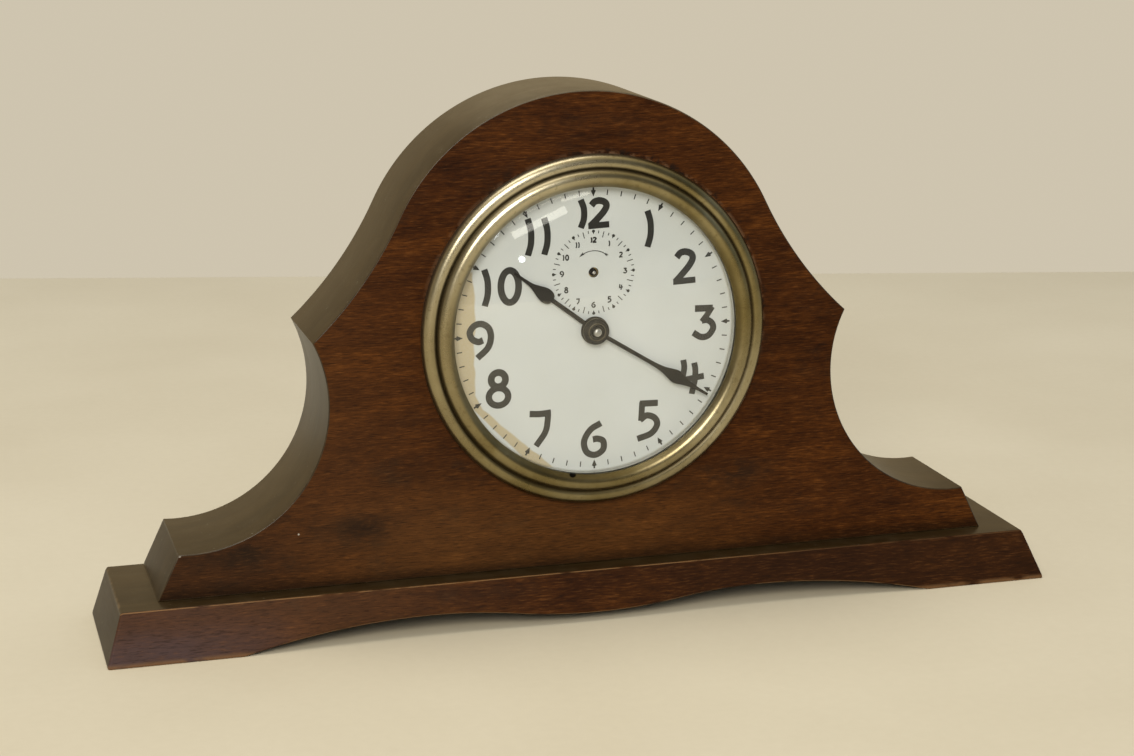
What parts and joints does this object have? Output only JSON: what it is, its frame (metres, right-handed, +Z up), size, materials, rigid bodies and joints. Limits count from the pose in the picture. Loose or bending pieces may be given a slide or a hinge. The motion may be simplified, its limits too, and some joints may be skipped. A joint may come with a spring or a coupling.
{
  "type": "mantel alarm clock",
  "caption": "Mantel alarm clock with an arched coved wooden case on a plinth, a round glazed dial with spade hands, and a wind-up alarm movement behind.",
  "frame": {"origin": "middle of the clock's footprint, on the surface it stands on", "axes": "+Z up, +X to the right as seen from the front, the dial faces -Y"},
  "size_m": [0.342, 0.0808, 0.1848],
  "materials": {
    "mahogany": "worn satin mahogany stain",
    "nickel": "aged nickel over brass",
    "glass": "clear convex glass",
    "dial_white": "aged printed paper",
    "black_paint": "black lacquer",
    "plated_steel": "dull plated steel",
    "spring_steel": "blued spring steel",
    "steel": "turned steel",
    "brass": "stamped brass"
  },
  "bodies": {
    "root": {"case_body": "mahogany", "base_plinth": "mahogany", "base_screws": "plated_steel", "bezel": "nickel", "crystal": "glass", "crystal_ring": "plated_steel", "dial_plate": "plated_steel", "dial_paper": "dial_white", "movement_drum": "plated_steel", "drum_screws": "plated_steel", "front_plate": "brass", "back_plate": "brass", "plate_pillars": "steel", "pillar_nuts": "steel", "back_posts": "steel", "back_cover": "plated_steel", "back_cover_screws": "plated_steel", "minute_wheel_stud": "steel", "time_mainspring": "spring_steel", "alarm_mainspring": "spring_steel", "hairspring": "spring_steel", "hairspring_stud": "steel", "balance_screws": "steel"},
    "hand_arbor": {"center_arbor": "steel", "cannon_pinion": "brass", "minute_hand": "black_paint", "hand_nut": "black_paint", "set_knob": "plated_steel"},
    "minute_work": {"minute_wheel": "brass"},
    "hour_work": {"hour_wheel": "brass", "hour_hand": "black_paint"},
    "alarm_work": {"alarm_wheel": "brass"},
    "alarm_setting": {"alarm_arbor": "steel", "alarm_cam": "brass", "alarm_set_knob": "plated_steel"},
    "fourth": {"fourth_arbor": "steel", "fourth_wheel": "brass"},
    "third": {"third_arbor": "steel", "third_wheel": "brass"},
    "center": {"center_wheel": "brass", "friction_spring": "spring_steel"},
    "great": {"time_great_wheel": "brass", "time_click": "spring_steel"},
    "escape": {"escape_arbor": "steel", "escape_wheel": "brass"},
    "time_winding": {"time_winding_arbor": "steel", "time_ratchet": "steel", "time_key": "plated_steel"},
    "alarm_great": {"alarm_great_wheel": "brass", "alarm_click": "spring_steel"},
    "alarm_escape": {"alarm_escape_wheel": "brass"},
    "alarm_winding": {"alarm_winding_arbor": "steel", "alarm_ratchet": "steel", "alarm_key": "plated_steel"},
    "pallet": {"pallet_lever": "steel"},
    "balance": {"balance_wheel": "brass", "balance_staff": "steel"},
    "hammer": {"alarm_hammer": "steel"},
    "stop_button": {"alarm_stop_button": "plated_steel"},
    "regulator": {"regulator_lever": "plated_steel"}
  },
  "joints": [
    {"name": "hand_setting", "type": "hinge", "parent": "root", "child": "hand_arbor", "pos_m": [0.0028, 0, 0.1013], "axis": [0, 1, 0], "continuous": true},
    {"name": "minute_wheel_turn", "type": "hinge", "parent": "root", "child": "minute_work", "pos_m": [0.00985, 0, 0.09075], "axis": [0, 1, 0], "continuous": true},
    {"name": "hour_turn", "type": "hinge", "parent": "root", "child": "hour_work", "pos_m": [0.0028, 0, 0.1013], "axis": [0, 1, 0], "continuous": true},
    {"name": "alarm_wheel_turn", "type": "hinge", "parent": "root", "child": "alarm_work", "pos_m": [0.0028, 0, 0.1216], "axis": [0, 1, 0], "continuous": true},
    {"name": "alarm_setting_turn", "type": "hinge", "parent": "root", "child": "alarm_setting", "pos_m": [0.0028, 0, 0.1216], "axis": [0, 1, 0], "continuous": true},
    {"name": "fourth_turn", "type": "hinge", "parent": "root", "child": "fourth", "pos_m": [-0.01436, 0, 0.11654], "axis": [0, 1, 0], "continuous": true},
    {"name": "third_turn", "type": "hinge", "parent": "root", "child": "third", "pos_m": [-0.00588, 0, 0.11164], "axis": [0, 1, 0], "continuous": true},
    {"name": "center_turn", "type": "hinge", "parent": "root", "child": "center", "pos_m": [0.0028, 0, 0.1013], "axis": [0, 1, 0], "continuous": true},
    {"name": "great_turn", "type": "hinge", "parent": "root", "child": "great", "pos_m": [-0.01539, 0, 0.0908], "axis": [0, 1, 0], "continuous": true},
    {"name": "escape_turn", "type": "hinge", "parent": "root", "child": "escape", "pos_m": [-0.00775, 0, 0.1221], "axis": [0, 1, 0], "continuous": true},
    {"name": "time_winding_turn", "type": "hinge", "parent": "great", "child": "time_winding", "pos_m": [-0.01539, 0, 0.0908], "axis": [0, -1, 0], "range_deg": [0, 1800]},
    {"name": "alarm_great_turn", "type": "hinge", "parent": "root", "child": "alarm_great", "pos_m": [0.02131, 0, 0.08834], "axis": [0, 1, 0], "continuous": true},
    {"name": "alarm_escape_turn", "type": "hinge", "parent": "root", "child": "alarm_escape", "pos_m": [0.02805, 0, 0.10001], "axis": [0, 1, 0], "continuous": true},
    {"name": "alarm_winding_turn", "type": "hinge", "parent": "alarm_great", "child": "alarm_winding", "pos_m": [0.02131, 0, 0.08834], "axis": [0, -1, 0], "range_deg": [0, 1800]},
    {"name": "pallet_swing", "type": "hinge", "parent": "root", "child": "pallet", "pos_m": [-0.00775, 0, 0.1301], "axis": [0, 1, 0], "range_deg": [-3, 3]},
    {"name": "balance_swing", "type": "hinge", "parent": "root", "child": "balance", "pos_m": [0.00078, 0, 0.1338], "axis": [0, 1, 0], "range_deg": [-150, 150]},
    {"name": "hammer_swing", "type": "hinge", "parent": "root", "child": "hammer", "pos_m": [0.02805, 0, 0.10991], "axis": [0, 1, 0], "range_deg": [-4, 3]},
    {"name": "stop_button_slide", "type": "slide", "parent": "root", "child": "stop_button", "axis": [0, 1, 0], "range_m": [0, 0.004]},
    {"name": "regulator_swing", "type": "hinge", "parent": "root", "child": "regulator", "pos_m": [0.00078, 0, 0.1338], "axis": [0, 1, 0], "range_deg": [-25, 25]}
  ],
  "couplings": [
    {"joint": "minute_wheel_turn", "follows": "hand_setting", "ratio": -0.33333},
    {"joint": "hour_turn", "follows": "hand_setting", "ratio": 0.083333},
    {"joint": "alarm_wheel_turn", "follows": "hand_setting", "ratio": -0.083333},
    {"joint": "third_turn", "follows": "fourth_turn", "ratio": -0.16667},
    {"joint": "center_turn", "follows": "fourth_turn", "ratio": 0.027778},
    {"joint": "great_turn", "follows": "fourth_turn", "ratio": -0.0046296},
    {"joint": "escape_turn", "follows": "fourth_turn", "ratio": -7},
    {"joint": "alarm_escape_turn", "follows": "alarm_great_turn", "ratio": -6}
  ]
}
